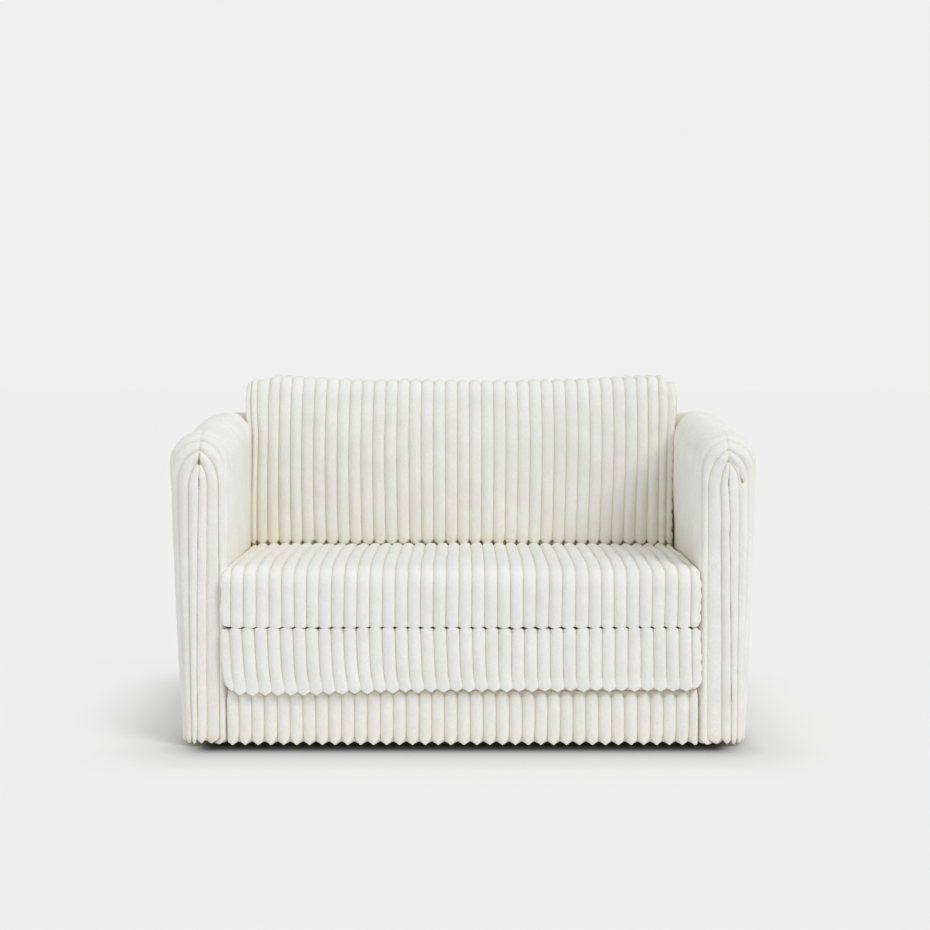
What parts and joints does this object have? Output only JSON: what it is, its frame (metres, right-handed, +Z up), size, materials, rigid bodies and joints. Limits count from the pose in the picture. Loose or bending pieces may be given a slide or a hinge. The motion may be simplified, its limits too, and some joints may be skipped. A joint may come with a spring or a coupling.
{
  "type": "sofa bed",
  "caption": "Compact two-seat sofa bed in ivory ribbed plush with tall rounded arms, a loose back cushion and a Z-fold seat that opens forward into a bed.",
  "frame": {"origin": "on the floor under the middle of the folded sofa's bounding box", "axes": "+X along the width towards the sitter's left arm, which is on the right of the picture; +Y from the front to the back, so the sofa faces -Y; +Z up"},
  "size_m": [1.4258, 0.84, 0.9095],
  "materials": {
    "ribbed_plush": "ivory short-pile plush",
    "gusset_plush": "ivory short-pile plush",
    "piping_cloth": "woven tape",
    "foam": "open-cell foam",
    "pine": "planed, unfinished",
    "plywood": "sanded, unfinished",
    "hardboard": "smooth face",
    "webbing": "woven elastic",
    "black_lining": "non-woven, matt",
    "black_plastic": "moulded, matt",
    "zinc_steel": "zinc plated"
  },
  "bodies": {
    "sofa_frame": {"base_front_rail": "pine", "base_rear_rail": "pine", "base_side_rails": "pine", "base_cross_rails": "pine", "base_corner_blocks": "pine", "base_deck": "plywood", "base_foam_pad": "foam", "base_cover": "ribbed_plush", "base_dust_cover": "black_lining", "feet": "black_plastic", "arm_screws": "zinc_steel", "right_arm_cover": "ribbed_plush", "right_arm_foam": "foam", "right_arm_inner_panel": "plywood", "right_arm_outer_panel": "plywood", "right_arm_posts": "pine", "right_arm_rails": "pine", "left_arm_cover": "ribbed_plush", "left_arm_foam": "foam", "left_arm_inner_panel": "plywood", "left_arm_outer_panel": "plywood", "left_arm_posts": "pine", "left_arm_rails": "pine", "back_stiles": "pine", "back_rails": "pine", "back_webbing": "webbing", "back_foam": "foam", "back_board": "hardboard", "back_cover": "ribbed_plush", "lower_fold_piping": "piping_cloth"},
    "middle_section": {"middle_cover": "ribbed_plush", "middle_side_gussets": "gusset_plush", "middle_foam": "foam", "lower_fold_tape": "piping_cloth", "upper_fold_piping": "piping_cloth"},
    "seat_section": {"seat_cover": "ribbed_plush", "seat_side_gussets": "gusset_plush", "seat_foam": "foam", "upper_fold_tape": "piping_cloth"},
    "back_cushion": {"back_cushion_cover": "ribbed_plush", "back_cushion_gussets": "gusset_plush", "back_cushion_foam": "foam"}
  },
  "joints": [
    {"name": "mattress_fold", "type": "hinge", "parent": "sofa_frame", "child": "middle_section", "pos_m": [0, -0.4114, 0.15], "axis": [1, 0, 0], "range_deg": [0, 180]},
    {"name": "seat_fold", "type": "hinge", "parent": "middle_section", "child": "seat_section", "pos_m": [0, 0.1495, 0.3], "axis": [1, 0, 0], "range_deg": [-180, 0]},
    {"name": "back_cushion_lift", "type": "slide", "parent": "sofa_frame", "child": "back_cushion", "axis": [0, 0, 1], "range_m": [0, 0.62]}
  ],
  "couplings": [
    {"joint": "seat_fold", "follows": "mattress_fold", "ratio": -1}
  ]
}
